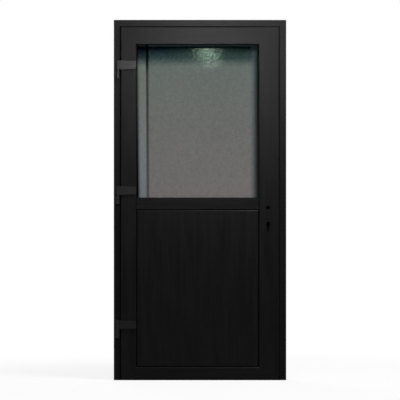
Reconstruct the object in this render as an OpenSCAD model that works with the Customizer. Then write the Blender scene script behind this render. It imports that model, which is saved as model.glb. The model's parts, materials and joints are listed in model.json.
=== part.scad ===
// Half-glazed entrance door in its frame: black foiled PVC profiles on steel cores, three
// L-shaped roll hinges, obscure double glazing over a flush panel, and a multipoint lock.
// X runs across the door, Y from the outside to the inside and Z up from the floor.
// A profile section is drawn as [in from its outer edge, back from its outside face].

/* [Frame] */
// Overall width of the frame
frame_w = 1005; // [860:5:1200]
// Overall height of the frame
frame_h = 2100; // [2000:5:2400]
// Depth of the frame profiles
frame_d = 70; // [68:1:80]
// Width of the frame profiles up to the rebate
frame_face = 49; // [46:1:60]
// How far the stop stands in past the rebate
stop_w = 22; // [18:1:26]
// Thickness of the stop
stop_d = 14; // [12:1:15]

/* [Leaf] */
// Depth of the leaf profiles
leaf_d = 70; // [68:1:73]
// How far the leaf stands out in front of the frame
leaf_proud = 18; // [18:1:22]
// How far the leaf's flange laps over the frame
leaf_lap = 8; // [6:1:9]
// Air between the leaf and the rebate
rebate_air = 12; // [11:1:14]
// Thickness of the flange
flange_t = 14; // [13:1:15]
// Face width of the hinge stile
hinge_stile_w = 92; // [84:1:130]
// Face width of the lock stile
lock_stile_w = 120; // [116:1:140]
// Face width of the top rail
top_rail_w = 104; // [80:1:140]
// Face width of the bottom rail
bottom_rail_w = 70; // [66:1:140]
// Face width of the transom
transom_w = 70; // [64:1:120]
// Height of the transom's middle above the floor
transom_z = 1027; // [900:1:1150]
// Gap between the floor and the leaf
leaf_floor_gap = 8; // [6:1:10]
// Height of the lip in front of the glass and the panel
lip_w = 20; // [18:1:22]
// Thickness of that lip
lip_d = 20; // [18:1:22]
// Chamfer on the lip's outside edge
lip_chamfer = 4; // [2:0.5:6]

/* [Profile walls and steel] */
// Outer wall of the PVC profiles
pvc_wall = 3; // [2.5:0.1:3.5]
// Web between two chambers
pvc_web = 2; // [1.5:0.1:2.5]
// Depth of the chambers behind the outside face
front_chamber = 7; // [5:0.5:8]
// Depth of the chamber that holds the steel
steel_chamber = 40; // [36:1:41]
// Width of the chamber that takes the bolts in the lock jamb
bolt_chamber = 11; // [10:0.5:13]
// Wall of the steel tubes
steel_wall = 2; // [1.5:0.1:2.5]
// Clearance round a steel tube
steel_fit = 0.3; // [0.1:0.05:0.5]
// Rounding of the profiles' outside edges
edge_r = 4; // [2:0.5:5]

/* [Glass] */
// Thickness of one pane
pane_t = 4; // [3:0.5:5]
// Gap between the panes
pane_gap = 16; // [12:1:17]
// Thickness of the seal in front of the glass and the panel
glazing_seal = 3; // [2.5:0.5:4]
// Width of the seal in front of the glass and the panel
glazing_seal_w = 9; // [7:1:12]
// How far that seal stays back from the lip's edge
glazing_seal_in = 1; // [0.5:0.5:3]
// Gap between the edge of the glass or panel and the rebate
glazing_gap = 5; // [4:0.5:6]
// Height of the spacer bar between the panes
spacer_h = 8; // [6:0.5:9]
// How far the spacer lies in from the glass edge
spacer_inset = 3; // [2:0.5:4]
// Wall of the spacer bar
spacer_wall = 1; // [0.5:0.1:1.5]
// Length of a setting block
setting_block = 100; // [60:5:150]

/* [Glazing beads] */
// Height of the beads
bead_h = 18; // [16:1:19]
// Rounding of a bead
bead_r = 8; // [5:0.5:10]
// Size of the bead's edge that presses on the glass
bead_nose = 3; // [2:0.5:4]
// Depth of the groove that a bead clips into
bead_groove_d = 4; // [3:0.5:5]
// Width of that groove
bead_groove_w = 3.2; // [2.8:0.1:4]
// Distance of that groove from the leaf's inside face
bead_groove_in = 7; // [6:0.5:9]
// Clearance of a bead's foot in its groove
bead_fit = 0.2; // [0.1:0.05:0.3]

/* [Panel] */
// Thickness of the panel's outside skin
panel_skin = 4; // [2:0.5:4]
// Thickness of the panel's inside skin
panel_back_skin = 2; // [1.5:0.5:3]
// Open joint between the panel's face and the lips
panel_joint = 1.5; // [1:0.25:3]

/* [Seals] */
// Width of a seal's root and groove
seal_root_w = 3; // [2.5:0.1:3.5]
// Depth of a seal's root and groove
seal_root_d = 4; // [3:0.5:4]
// Clearance of a seal's root in its groove
seal_fit = 0.15; // [0.1:0.05:0.3]
// Gap between a seal and the face that it closes on
seal_clear = 0.3; // [0.2:0.05:0.6]
// How far the leaf's seal shows past the flange
seal_show = 4.5; // [2:0.5:4.5]
// Width of the leaf's seal behind the flange
leaf_seal_w = 8; // [7:0.5:12]
// Width of the frame's seal on the stop
frame_seal_w = 10; // [8:0.5:12]
// How far that seal stays back from the stop's edge
frame_seal_in = 1; // [0.5:0.5:2]
// Thickness of the bottom brush
brush_t = 6; // [4:0.5:10]

/* [Threshold] */
// Height of the threshold
threshold_h = 20; // [16:1:22]
// Depth of the threshold's outside rail
threshold_front = 28; // [24:1:32]
// Depth of the insulating core between the rails
threshold_core_d = 16; // [12:1:20]
// Wall of the threshold rails
threshold_wall = 2; // [1.5:0.1:3]
// Spacing of the tread grooves
tread_step = 5; // [4:0.5:8]
// Width of a tread groove
tread_groove = 2; // [1:0.25:3]
// Depth of a tread groove
tread_deep = 0.8; // [0.5:0.1:1.2]
// Gap between the threshold and the jambs
threshold_fit = 0.3; // [0.1:0.05:0.5]

/* [Hinges] */
// Height of the bottom of the low hinge
hinge_low_z = 246; // [150:1:450]
// Height of the bottom of the middle hinge
hinge_mid_z = 1026; // [800:1:1300]
// Distance of the top of the high hinge below the frame's top
hinge_top_drop = 238; // [200:1:340]
// Distance of the hinge axis from the frame's outer edge
hinge_in = 24; // [22:0.5:26]
// Distance of the hinge axis in front of the frame
hinge_out = 13; // [12.5:0.5:15]
// Radius of the knuckles
knuckle_r = 12; // [10:0.5:12]
// Height of the whole hinge
hinge_h = 105; // [90:1:130]
// Height of the knuckle on the frame
frame_knuckle_h = 51.6; // [40:0.2:60]
// Radius of the hinge pin
pin_r = 5; // [4:0.5:6]
// Wall of the bush round the pin
bush_wall = 2; // [1.5:0.25:2.5]
// Running clearance of the pin in its bush
pin_fit = 0.05; // [0.03:0.01:0.1]
// Thickness of the bush's collar
bush_collar = 1.1; // [0.8:0.1:2]
// Clearance under the bush's collar
collar_fit = 0.3; // [0.2:0.05:0.5]
// Closed end of a knuckle past its pin
knuckle_cap = 5; // [3:0.5:8]
// Thickness of the plate on the leaf
arm_plate = 4; // [3:0.5:5]
// Thickness of the cover over that plate
arm_cover = 7; // [6:0.5:9]
// Wall of the cover
cover_wall = 1.6; // [1.2:0.1:2.5]
// Chamfer round the cover's outside edge
cover_chamfer = 1.2; // [0.5:0.1:1.5]
// Height of the cover at its free end
arm_tip_h = 45; // [30:1:50]
// How far the cover stops short of the stile's inner edge
arm_short = 3; // [0:0.5:20]
// Clearance of the plate inside its cover
cover_fit = 0.2; // [0.1:0.05:0.5]

/* [Lock] */
// Height of the handle spindle above the floor
spindle_z = 1005; // [980:1:1060]
// Distance of the spindle from the faceplate
backset = 45; // [42:1:50]
// Drop from the spindle to the lock cylinder
cylinder_drop = 92; // [90:1:96]
// Radius of the spindle drilling
spindle_bore_r = 12; // [10:0.5:13]
// Side of the follower's square hole
spindle_square = 8; // [7:0.5:10]
// Radius of the round part of the key milling
key_r = 11; // [10:0.5:13]
// How far the key milling reaches below the cylinder's middle
key_drop = 47; // [30:1:50]
// Half the width of the key milling at its foot
key_foot = 7; // [6:0.5:9]
// Radius of the cylinder body
cylinder_r = 8.6; // [8.5:0.05:9]
// Half the width of the cylinder's lower part
cylinder_half = 5.2; // [5:0.05:5.5]
// How far the cylinder's lower part reaches below its middle
cylinder_low = 24.6; // [24:0.1:26]
// Thickness of the faceplate
face_t = 3; // [2.5:0.5:4]
// Width of the faceplate
face_w = 20; // [18:1:22]
// Height of the lower end of the faceplate
face_low = 250; // [150:5:320]
// Distance of the upper end of the faceplate below the frame's top
face_top_drop = 250; // [200:5:320]
// Thickness of the drive rail
drive_t = 2.5; // [2:0.25:3]
// Width of the drive rail
drive_w = 18; // [17:0.5:18]
// Travel of the drive rail
drive_travel = 18; // [12:1:20]
// Depth of the groove for the faceplate and rail
lock_groove_d = 8; // [7.5:0.5:10]
// Thickness of the lock cases
case_t = 16; // [15:0.5:17]
// Wall of the lock cases
case_wall = 1.5; // [1:0.1:2]
// Depth of the main case
case_deep = 64; // [63:1:66]
// Reach of the main case above the spindle
case_above = 66; // [60:1:80]
// Reach of the main case below the cylinder
case_below = 52; // [40:1:60]
// Depth of the upper and lower cases
bolt_case_deep = 36; // [32:1:44]
// Height of the upper and lower cases
bolt_case_h = 80; // [70:1:100]
// Radius of the posts that join a case to the faceplate
post_r = 3; // [2:0.5:4]
// Distance of a post from the end of its case
post_in = 6; // [5:0.5:9]
// Clearance of the sliding pieces
slide_fit = 0.3; // [0.2:0.05:0.4]
// Height of the deadbolt
deadbolt_h = 32; // [26:1:36]
// Height of the upper and lower bolts
bolt_h = 24; // [20:1:30]
// Length of the bolts
bolt_l = 34; // [32:1:34]
// Throw of the bolts
bolt_throw = 20; // [16:0.5:20]
// Distance of the upper bolt below the frame's top
upper_bolt_drop = 410; // [380:5:540]
// Height of the lower bolt
lower_bolt_z = 400; // [380:5:540]
// Height of the latch above the spindle
latch_up = 38; // [38:0.5:42]
// Height of the latch head
latch_h = 28; // [22:1:30]
// Length of the latch head
latch_l = 24; // [20:1:26]
// Bevel on the latch
latch_bevel = 12; // [8:1:14]
// Height of the latch's shank
shank_h = 10; // [8:1:12]
// Thickness of the latch's shank and of the follower's lever
lever_t = 6; // [4:0.5:8]
// Length of the follower's lever
lever_l = 22; // [20:0.5:22]
// Radius of the lever's tip
lever_tip_r = 3.5; // [2.5:0.5:4]
// Turn of the follower that draws the latch
follower_turn = 40; // [30:1:40]
// Radius of the follower's hub
hub_r = 13; // [12:0.5:13]
// Radius of the follower's collars
collar_r = 9; // [8:0.25:9.5]
// Running clearance of the collars in the case
follower_fit = 0.05; // [0.03:0.01:0.1]
// Room between the lever and the latch's lug
lug_gap = 1; // [0.8:0.1:1.2]
// Room between the follower's hub and the latch's lug
hub_gap = 2; // [1.5:0.1:2.5]
// Thickness of the latch's lug
lug_t = 4; // [3:0.5:4.5]

/* [Strikes] */
// Thickness of the strike plates
strike_t = 8; // [6:0.5:8]
// Width of the strike plates
strike_w = 30; // [26:1:32]
// Length of a strike plate past its bolts
strike_end = 24; // [18:1:30]
// Ramp on the strike plates' outside edge
strike_ramp = 4; // [2:0.5:5]
// Radius of the screw holes in the strike plates
strike_screw_r = 2.25; // [1.75:0.25:2.5]
// Clearance of a bolt in its strike plate
strike_fit = 1.5; // [1:0.25:2.5]

/* [Fixings] */
// Radius of the fixing holes through the jambs
fixing_r = 3.75; // [3:0.25:5]
// Height of the lowest fixing
fixing_low = 180; // [120:5:190]
// Height of the second fixing
fixing_second = 720; // [650:5:750]
// Height of the third fixing
fixing_third = 1260; // [1200:5:1300]
// Distance of the highest fixing below the frame's top
fixing_top_drop = 300; // [200:5:315]

/* [Hidden] */
$fn = 64;
// Overlap of a cutting shape past the face that it cuts
over = 1;
half_w = frame_w / 2;
front_y = -frame_d / 2;
frame_full = frame_face + stop_w;
stop_f = frame_d - stop_d;
main_f0 = pvc_wall + front_chamber + pvc_web;
main_f1 = main_f0 + steel_chamber;
rebate_x = half_w - frame_face;
flange_w = leaf_lap + rebate_air;
leaf_x = rebate_x + leaf_lap;
leaf_y = front_y - leaf_proud;
leaf_bottom = leaf_floor_gap;
leaf_top = frame_h - frame_face + leaf_lap;
open_l = hinge_stile_w - leaf_x;
open_r = leaf_x - lock_stile_w;
glass_open = [open_l, transom_z + transom_w / 2, open_r, leaf_top - top_rail_w];
panel_open = [open_l, leaf_bottom + bottom_rail_w, open_r, transom_z - transom_w / 2];
transom_body = transom_w - 2 * lip_w;
unit_v = lip_d + glazing_seal;
unit_t = 2 * pane_t + pane_gap;
unit_y = leaf_y + unit_v;
unit_back_y = unit_y + unit_t;
bead_v0 = leaf_d - bead_groove_in - bead_groove_w;
bead_v1 = leaf_d - bead_groove_in;
seal_root_s = 2 * seal_root_w;
frame_root_u = frame_full - frame_seal_w / 2;
hinge_x = hinge_in - half_w;
hinge_y = front_y - hinge_out;
hinge_high_z = frame_h - hinge_top_drop - hinge_h;
HINGES = [["low", hinge_low_z], ["middle", hinge_mid_z], ["high", hinge_high_z]];
collar_z = frame_knuckle_h + collar_fit;
leaf_knuckle_z = collar_z + bush_collar;
pin_top = hinge_h - knuckle_cap - collar_fit;
cover_end = open_l - arm_short;
lock_v = leaf_d / 2;
lock_groove_w = face_w + 2 * slide_fit;
drive_s = flange_w + face_t + slide_fit;
case_s = drive_s + drive_t + slide_fit;
spindle_s = flange_w + backset;
cylinder_z = spindle_z - cylinder_drop;
face_high = frame_h - face_top_drop;
upper_bolt_z = frame_h - upper_bolt_drop;
bolt_t = case_t - 2 * case_wall - 2 * slide_fit;
latch_z = spindle_z + latch_up;
latch_throw = lever_l * sin(follower_turn);
lug_s = spindle_s + latch_throw + lever_tip_r + lug_gap;
// Each lock case as [its bottom, its top, its depth]
MAIN_CASE = [cylinder_z - case_below, spindle_z + case_above, case_deep];
UPPER_CASE = [upper_bolt_z - bolt_case_h / 2, upper_bolt_z + bolt_case_h / 2, bolt_case_deep];
LOWER_CASE = [lower_bolt_z - bolt_case_h / 2, lower_bolt_z + bolt_case_h / 2, bolt_case_deep];
CASES = [MAIN_CASE, UPPER_CASE, LOWER_CASE];
// Each bolt as [its middle, its height]
LATCH = [latch_z, latch_h];
DEADBOLT = [cylinder_z, deadbolt_h];
UPPER_BOLT = [upper_bolt_z, bolt_h];
LOWER_BOLT = [lower_bolt_z, bolt_h];
BOLTS = [LATCH, DEADBOLT, UPPER_BOLT, LOWER_BOLT];
FIXINGS = [fixing_low, fixing_second, fixing_third, frame_h - fixing_top_drop];
foil = [0.085, 0.085, 0.09];
zinc = [0.62, 0.63, 0.64];
rubber = [0.05, 0.05, 0.05];
hinge_black = [0.16, 0.16, 0.17];

function reversed(list) = [for (i = [len(list) - 1:-1:0]) list[i]];
function arc(centre, r, from, to, steps = 4) =
    [for (i = [0:steps]) let (a = from + (to - from) * i / steps) centre + r * [cos(a), sin(a)]];
function grow(r, by) = [r[0] - by, r[1] - by, r[2] + by, r[3] + by];

// Section outlines

frame_outline = concat(
    arc([edge_r, edge_r], edge_r, 180, 270),
    arc([frame_face - edge_r, edge_r], edge_r, 270, 360),
    [[frame_face, stop_f], [frame_root_u - seal_root_w / 2, stop_f],
     [frame_root_u - seal_root_w / 2, stop_f + seal_root_d],
     [frame_root_u + seal_root_w / 2, stop_f + seal_root_d],
     [frame_root_u + seal_root_w / 2, stop_f], [frame_full, stop_f],
     [frame_full, frame_d], [0, frame_d]]
);
frame_chambers = [
    [pvc_wall, pvc_wall, frame_face - pvc_wall, main_f0 - pvc_web],
    [pvc_wall, main_f0, frame_face - pvc_wall - bolt_chamber - pvc_web, main_f1],
    [frame_face - pvc_wall - bolt_chamber, main_f0, frame_face - pvc_wall, main_f1],
    [pvc_wall, main_f1 + pvc_web, frame_face - pvc_wall, frame_d - pvc_wall],
    [frame_face, stop_f + seal_root_d + pvc_web, frame_full - pvc_wall, frame_d - pvc_wall]
];

// The rebate side of a leaf profile whose lip ends at distance w
function rebate_side(w) = [
    [w - lip_chamfer, 0], [w, lip_chamfer], [w, lip_d], [w - lip_w, lip_d],
    [w - lip_w, bead_v0], [w - lip_w - bead_groove_d, bead_v0],
    [w - lip_w - bead_groove_d, bead_v1], [w - lip_w, bead_v1], [w - lip_w, leaf_d]
];
function leaf_outline(w) = concat(
    arc([edge_r, edge_r], edge_r, 180, 270),
    rebate_side(w),
    [[flange_w, leaf_d], [flange_w, lock_v + lock_groove_w / 2],
     [flange_w + lock_groove_d, lock_v + lock_groove_w / 2],
     [flange_w + lock_groove_d, lock_v - lock_groove_w / 2],
     [flange_w, lock_v - lock_groove_w / 2], [flange_w, flange_t],
     [seal_root_s + seal_root_w / 2, flange_t],
     [seal_root_s + seal_root_w / 2, flange_t - seal_root_d],
     [seal_root_s - seal_root_w / 2, flange_t - seal_root_d],
     [seal_root_s - seal_root_w / 2, flange_t], [0, flange_t]]
);
// Start of the steel chamber, behind the groove for the faceplate
leaf_main_s = flange_w + lock_groove_d + pvc_wall;
function leaf_steel_room(w) = [leaf_main_s, main_f0, w - lip_w - pvc_wall, main_f1];
function lip_chamber(w) =
    [w - lip_w, main_f0, w - pvc_wall, lip_d - pvc_wall];
function leaf_chambers(w) = [
    [seal_root_s + seal_root_w, pvc_wall, w - lip_chamfer - pvc_wall, main_f0 - pvc_web],
    lip_chamber(w),
    leaf_steel_room(w),
    [flange_w + pvc_wall, main_f1 + pvc_web, w - lip_w - bead_groove_d - pvc_wall,
     leaf_d - pvc_wall]
];
transom_half = rebate_side(transom_w / 2);
transom_outline = concat(transom_half, reversed([for (p = transom_half) [-p[0], p[1]]]));
transom_steel_room = [pvc_wall - transom_body / 2, main_f0, transom_body / 2 - pvc_wall, main_f1];
transom_front_half = transom_w / 2 - lip_chamfer - pvc_wall;
transom_back_half = transom_body / 2 - bead_groove_d - pvc_wall;
transom_chambers = [
    [-transom_front_half, pvc_wall, transom_front_half, main_f0 - pvc_web],
    transom_steel_room,
    [-transom_back_half, main_f1 + pvc_web, transom_back_half, leaf_d - pvc_wall]
];
bead_outline = concat(
    [[0, unit_v + unit_t + bead_nose], [bead_h - bead_nose, unit_v + unit_t + bead_nose],
     [bead_h - bead_nose, unit_v + unit_t], [bead_h, unit_v + unit_t]],
    arc([bead_h - bead_r, leaf_d - bead_r], bead_r, 0, 90, 6),
    [[0, leaf_d], [0, bead_v1 - bead_fit], [bead_fit - bead_groove_d, bead_v1 - bead_fit],
     [bead_fit - bead_groove_d, bead_v0 + bead_fit], [0, bead_v0 + bead_fit]]
);

// Helpers that set a drawing up in space

module rect(r) {
    translate([r[0], r[1]]) square([r[2] - r[0], r[3] - r[1]]);
}
module ring(outer, inner) {
    difference() {
        rect(outer);
        rect(inner);
    }
}
// A drawing in X and Z, run back from y0 to y1
module facing(y0, y1) {
    translate([0, y1, 0]) rotate([90, 0, 0]) linear_extrude(y1 - y0) children();
}
// A drawing in Y and Z, run across from x0 to x1
module crossbar(x0, x1) {
    translate([x0, 0, 0]) rotate([90, 0, 90]) linear_extrude(x1 - x0) children();
}
// A drawing in X and Y, run up from z0 to z1
module upright(z0, z1) {
    translate([0, 0, z0]) linear_extrude(z1 - z0) children();
}
// A section turned to run across, its outer edge up or down
module edge_up(y, z) {
    translate([y, z]) mirror([0, 1, 0]) mirror([1, -1, 0]) children();
}
module edge_down(y, z) {
    translate([y, z]) mirror([1, -1, 0]) children();
}
module edge_left(x, y) {
    translate([x, y]) children();
}
module edge_right(x, y) {
    translate([x, y]) mirror([1, 0, 0]) children();
}
module chambered(outline, chambers) {
    difference() {
        polygon(outline);
        for (c = chambers) rect(c);
    }
}
module tube_in(room) {
    ring(grow(room, -steel_fit), grow(room, -steel_fit - steel_wall));
}
// Places drawn as [in from the leaf's lock edge, back from its face, height]
module lock_side() {
    translate([leaf_x, leaf_y, 0]) mirror([1, 0, 0]) children();
}
// Places drawn as [in from the lock jamb's outer edge, back from its face, height]
module lock_jamb() {
    translate([half_w, front_y, 0]) mirror([1, 0, 0]) children();
}
module box(low, high) {
    translate(low) cube(high - low);
}
module bore_back(s, v0, v1, z, r) {
    translate([s, v0, z]) rotate([-90, 0, 0]) cylinder(h = v1 - v0, r = r);
}
module bore_across(s0, s1, v, z, r) {
    translate([s0, v, z]) rotate([0, 90, 0]) cylinder(h = s1 - s0, r = r);
}

// Frame

module frame_region(points) {
    facing(front_y - over, front_y + frame_d + over) polygon(points);
}
module jamb_bar() {
    intersection() {
        upright(0, frame_h + over) edge_left(-half_w, front_y) chambered(frame_outline, frame_chambers);
        frame_region([[-half_w - over, -over], [frame_full - half_w + over, -over],
            [frame_full - half_w + over, frame_h - frame_full - over],
            [-half_w - over, frame_h + over]]);
    }
}
module jamb_steel() {
    upright(threshold_h, frame_h - frame_full) edge_left(-half_w, front_y) tube_in(frame_chambers[1]);
}
module fixing_holes() {
    for (z = FIXINGS)
        bore_across(-half_w - over, over - rebate_x, front_y + (main_f0 + main_f1) / 2, z, fixing_r);
}
module bolt_pockets() {
    lock_jamb() for (b = BOLTS)
        box([frame_face + rebate_air - bolt_throw - strike_fit,
             lock_v - leaf_proud - bolt_t / 2 - strike_fit, b[0] - b[1] / 2 - strike_fit],
            [frame_face + over, lock_v - leaf_proud + bolt_t / 2 + strike_fit,
             b[0] + b[1] / 2 + strike_fit]);
}
module frame_head() {
    color(foil) intersection() {
        crossbar(-half_w - over, half_w + over) edge_up(front_y, frame_h)
            chambered(frame_outline, frame_chambers);
        frame_region([[-half_w - over, frame_h + over],
            [frame_full - half_w + over, frame_h - frame_full - over],
            [half_w - frame_full - over, frame_h - frame_full - over],
            [half_w + over, frame_h + over]]);
    }
}
module frame_jamb_hinge() {
    color(foil) difference() {
        jamb_bar();
        fixing_holes();
    }
}
module frame_jamb_lock() {
    color(foil) difference() {
        mirror([1, 0, 0]) jamb_bar();
        mirror([1, 0, 0]) fixing_holes();
        bolt_pockets();
    }
}
module frame_head_steel() {
    color(zinc) crossbar(frame_full - half_w, half_w - frame_full) edge_up(front_y, frame_h)
        tube_in(frame_chambers[1]);
}
module frame_jamb_hinge_steel() {
    color(zinc) difference() {
        jamb_steel();
        fixing_holes();
    }
}
module frame_jamb_lock_steel() {
    color(zinc) mirror([1, 0, 0]) frame_jamb_hinge_steel();
}
module frame_seal_band(u0, u1) {
    difference() {
        rect([u0 - half_w, threshold_h + seal_clear, half_w - u0, frame_h - u0]);
        rect([u1 - half_w, threshold_h, half_w - u1, frame_h - u1]);
    }
}
module frame_seal() {
    stop_y = front_y + stop_f;
    color(rubber) {
        facing(leaf_y + leaf_d + seal_clear, stop_y)
            frame_seal_band(frame_full - frame_seal_w, frame_full - frame_seal_in);
        facing(stop_y - over, stop_y + seal_root_d - seal_fit)
            frame_seal_band(frame_root_u - seal_root_w / 2 + seal_fit,
                frame_root_u + seal_root_w / 2 - seal_fit);
    }
}

// Threshold

threshold_y1 = front_y + threshold_front;
threshold_y2 = threshold_y1 + threshold_core_d;
module threshold_bar(y0, y1) {
    stop_y = front_y + stop_f - threshold_fit;
    difference() {
        crossbar(threshold_fit - rebate_x, rebate_x - threshold_fit) difference() {
            rect([y0, 0, y1, threshold_h]);
            children();
        }
        for (side = [-1, 1])
            translate([side * (half_w - threshold_fit), 0, 0])
                box([-frame_full, stop_y, -over], [frame_full, front_y + frame_d + over,
                    threshold_h + over]);
    }
}
module threshold_rail(y0, y1) {
    threshold_bar(y0, y1) {
        rect([y0 + threshold_wall, threshold_wall, y1 - threshold_wall, threshold_h - threshold_wall]);
        for (y = [y0 + tread_step:tread_step:y1 - tread_step])
            rect([y - tread_groove / 2, threshold_h - tread_deep, y + tread_groove / 2,
                threshold_h + over]);
    }
}
module threshold_front_rail() {
    color([0.1, 0.1, 0.105]) threshold_rail(front_y, threshold_y1);
}
module threshold_core() {
    color([0.06, 0.06, 0.06]) threshold_bar(threshold_y1, threshold_y2);
}
module threshold_rear_rail() {
    color([0.1, 0.1, 0.105]) threshold_rail(threshold_y2, front_y + frame_d);
}

// Strike plates, each for the bolts that it takes

module strike(bolts) {
    low = min([for (b = bolts) b[0] - b[1] / 2]) - strike_end;
    high = max([for (b = bolts) b[0] + b[1] / 2]) + strike_end;
    v0 = lock_v - leaf_proud - strike_w / 2;
    v1 = v0 + strike_w;
    face_u = frame_face + strike_t;
    color(zinc) lock_jamb() difference() {
        upright(low, high) polygon([[frame_face, v0], [frame_face, v1], [face_u, v1],
            [face_u, v0 + strike_ramp], [face_u - strike_ramp, v0]]);
        for (b = bolts)
            box([frame_face - over, lock_v - leaf_proud - bolt_t / 2 - strike_fit,
                 b[0] - b[1] / 2 - strike_fit],
                [face_u + over, lock_v - leaf_proud + bolt_t / 2 + strike_fit,
                 b[0] + b[1] / 2 + strike_fit]);
        for (z = [low + strike_end / 2, high - strike_end / 2])
            bore_across(frame_face - over, face_u + over, lock_v - leaf_proud, z, strike_screw_r);
    }
}
module strike_main() {
    strike([LATCH, DEADBOLT]);
}
module strike_upper() {
    strike([UPPER_BOLT]);
}
module strike_lower() {
    strike([LOWER_BOLT]);
}

// Leaf

// The joint between two leaf profiles of unlike width, from the outer to the inner corner
function mitre(side_w, rail_w) = [
    [-over, -over], [flange_w, flange_w], [side_w - lip_w, rail_w - lip_w],
    [side_w + over, rail_w + over]
];
function corner(side, end, side_w, rail_w) = [
    for (p = mitre(side_w, rail_w))
        [side * (leaf_x - p[0]), end > 0 ? leaf_top - p[1] : leaf_bottom + p[1]]
];
low_left = corner(-1, -1, hinge_stile_w, bottom_rail_w);
low_right = corner(1, -1, lock_stile_w, bottom_rail_w);
top_left = corner(-1, 1, hinge_stile_w, top_rail_w);
top_right = corner(1, 1, lock_stile_w, top_rail_w);
module leaf_region(from, to) {
    facing(leaf_y - over, leaf_y + leaf_d + over) polygon(concat(from, reversed(to)));
}
module leaf_section(w) {
    chambered(leaf_outline(w), leaf_chambers(w));
}
module leaf_stile_hinge() {
    color(foil) intersection() {
        upright(leaf_bottom - over, leaf_top + over) edge_left(-leaf_x, leaf_y)
            leaf_section(hinge_stile_w);
        leaf_region(low_left, top_left);
    }
}
// Room for a lock case through the groove and the steel
module case_pocket(c) {
    lock_side() box([flange_w - over, lock_v - case_t / 2 - slide_fit, c[0] - slide_fit],
        [leaf_main_s + steel_fit + steel_wall + over, lock_v + case_t / 2 + slide_fit,
         c[1] + slide_fit]);
}
module key_shape() {
    translate([spindle_s, cylinder_z]) {
        circle(r = key_r);
        polygon([[-key_r, 0], [-key_foot, -key_drop], [key_foot, -key_drop], [key_r, 0]]);
    }
}
module lock_cuts() {
    for (c = CASES) case_pocket(c);
    lock_side() {
        bore_back(spindle_s, -over, leaf_d + over, spindle_z, spindle_bore_r);
        facing(-over, leaf_d + over) key_shape();
    }
}
module leaf_stile_lock() {
    color(foil) difference() {
        intersection() {
            upright(leaf_bottom - over, leaf_top + over) edge_right(leaf_x, leaf_y)
                leaf_section(lock_stile_w);
            leaf_region(low_right, top_right);
        }
        lock_cuts();
    }
}
module leaf_top_rail() {
    color(foil) intersection() {
        crossbar(-leaf_x - over, leaf_x + over) edge_up(leaf_y, leaf_top) leaf_section(top_rail_w);
        leaf_region(top_left, top_right);
    }
}
module leaf_bottom_rail() {
    color(foil) intersection() {
        crossbar(-leaf_x - over, leaf_x + over) edge_down(leaf_y, leaf_bottom)
            leaf_section(bottom_rail_w);
        leaf_region(low_left, low_right);
    }
}
module leaf_transom() {
    color(foil) difference() {
        crossbar(open_l - lip_w, open_r + lip_w) edge_down(leaf_y, transom_z)
            chambered(transom_outline, transom_chambers);
        for (x = [open_l - lip_w - over, open_r])
            translate([x, leaf_y - over, transom_z - transom_w])
                cube([lip_w + over, lip_d + over, 2 * transom_w]);
    }
}
module leaf_stile_hinge_steel() {
    color(zinc) upright(panel_open[1], glass_open[3]) edge_left(-leaf_x, leaf_y)
        tube_in(leaf_steel_room(hinge_stile_w));
}
module leaf_stile_lock_steel() {
    color(zinc) difference() {
        upright(panel_open[1], glass_open[3]) edge_right(leaf_x, leaf_y)
            tube_in(leaf_steel_room(lock_stile_w));
        lock_cuts();
    }
}
module leaf_top_rail_steel() {
    color(zinc) crossbar(open_l, open_r) edge_up(leaf_y, leaf_top)
        tube_in(leaf_steel_room(top_rail_w));
}
module leaf_bottom_rail_steel() {
    color(zinc) crossbar(open_l, open_r) edge_down(leaf_y, leaf_bottom)
        tube_in(leaf_steel_room(bottom_rail_w));
}
module leaf_transom_steel() {
    color(zinc) crossbar(open_l, open_r) edge_down(leaf_y, transom_z) tube_in(transom_steel_room);
}
leaf_edge = [-leaf_x, leaf_bottom, leaf_x, leaf_top];
module leaf_seal() {
    flange_y = leaf_y + flange_t;
    color(rubber) {
        facing(flange_y, front_y - seal_clear)
            ring(grow(leaf_edge, seal_show), grow(leaf_edge, -leaf_seal_w));
        facing(flange_y - seal_root_d + seal_fit, flange_y + over)
            ring(grow(leaf_edge, seal_root_w / 2 - seal_root_s - seal_fit),
                grow(leaf_edge, seal_fit - seal_root_w / 2 - seal_root_s));
    }
}
// Where the joint of the bottom rail and a stile lies at the bottom of the rail's groove
function groove_end(side_w) =
    flange_w + lock_groove_d * (side_w - lip_w - flange_w) / (bottom_rail_w - lip_w - flange_w);
// Carrier in the bottom rail's groove, with the brush under it
module bottom_brush() {
    groove_z = leaf_bottom + flange_w;
    brush_y = leaf_y + lock_v;
    color(rubber) {
        crossbar(groove_end(hinge_stile_w) - leaf_x, leaf_x - groove_end(lock_stile_w))
            rect([brush_y - face_w / 2, groove_z, brush_y + face_w / 2,
                groove_z + lock_groove_d - slide_fit]);
        crossbar(flange_w - leaf_x, leaf_x - flange_w)
            rect([brush_y - brush_t / 2, threshold_h + seal_clear, brush_y + brush_t / 2, groove_z]);
    }
}

// Glass

glass_edge = grow(glass_open, lip_w - glazing_gap);
module glass_outer_pane() {
    color([0.55, 0.58, 0.56, 0.6]) facing(unit_y, unit_y + pane_t) rect(glass_edge);
}
module glass_inner_pane() {
    color([0.6, 0.66, 0.63, 0.5]) facing(unit_back_y - pane_t, unit_back_y) rect(glass_edge);
}
module glass_spacer() {
    mid = spacer_inset + spacer_h;
    color([0.3, 0.3, 0.31]) difference() {
        facing(unit_y + pane_t, unit_back_y - pane_t)
            ring(grow(glass_edge, -spacer_inset), grow(glass_edge, -mid));
        facing(unit_y + pane_t + spacer_wall, unit_back_y - pane_t - spacer_wall)
            ring(grow(glass_edge, -spacer_inset - spacer_wall), grow(glass_edge, spacer_wall - mid));
    }
}
module seal_ring(open) {
    color(rubber) facing(leaf_y + lip_d, unit_y)
        ring(grow(open, glazing_seal_w), grow(open, glazing_seal_in));
}
module glass_seal() {
    seal_ring(glass_open);
}
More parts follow.
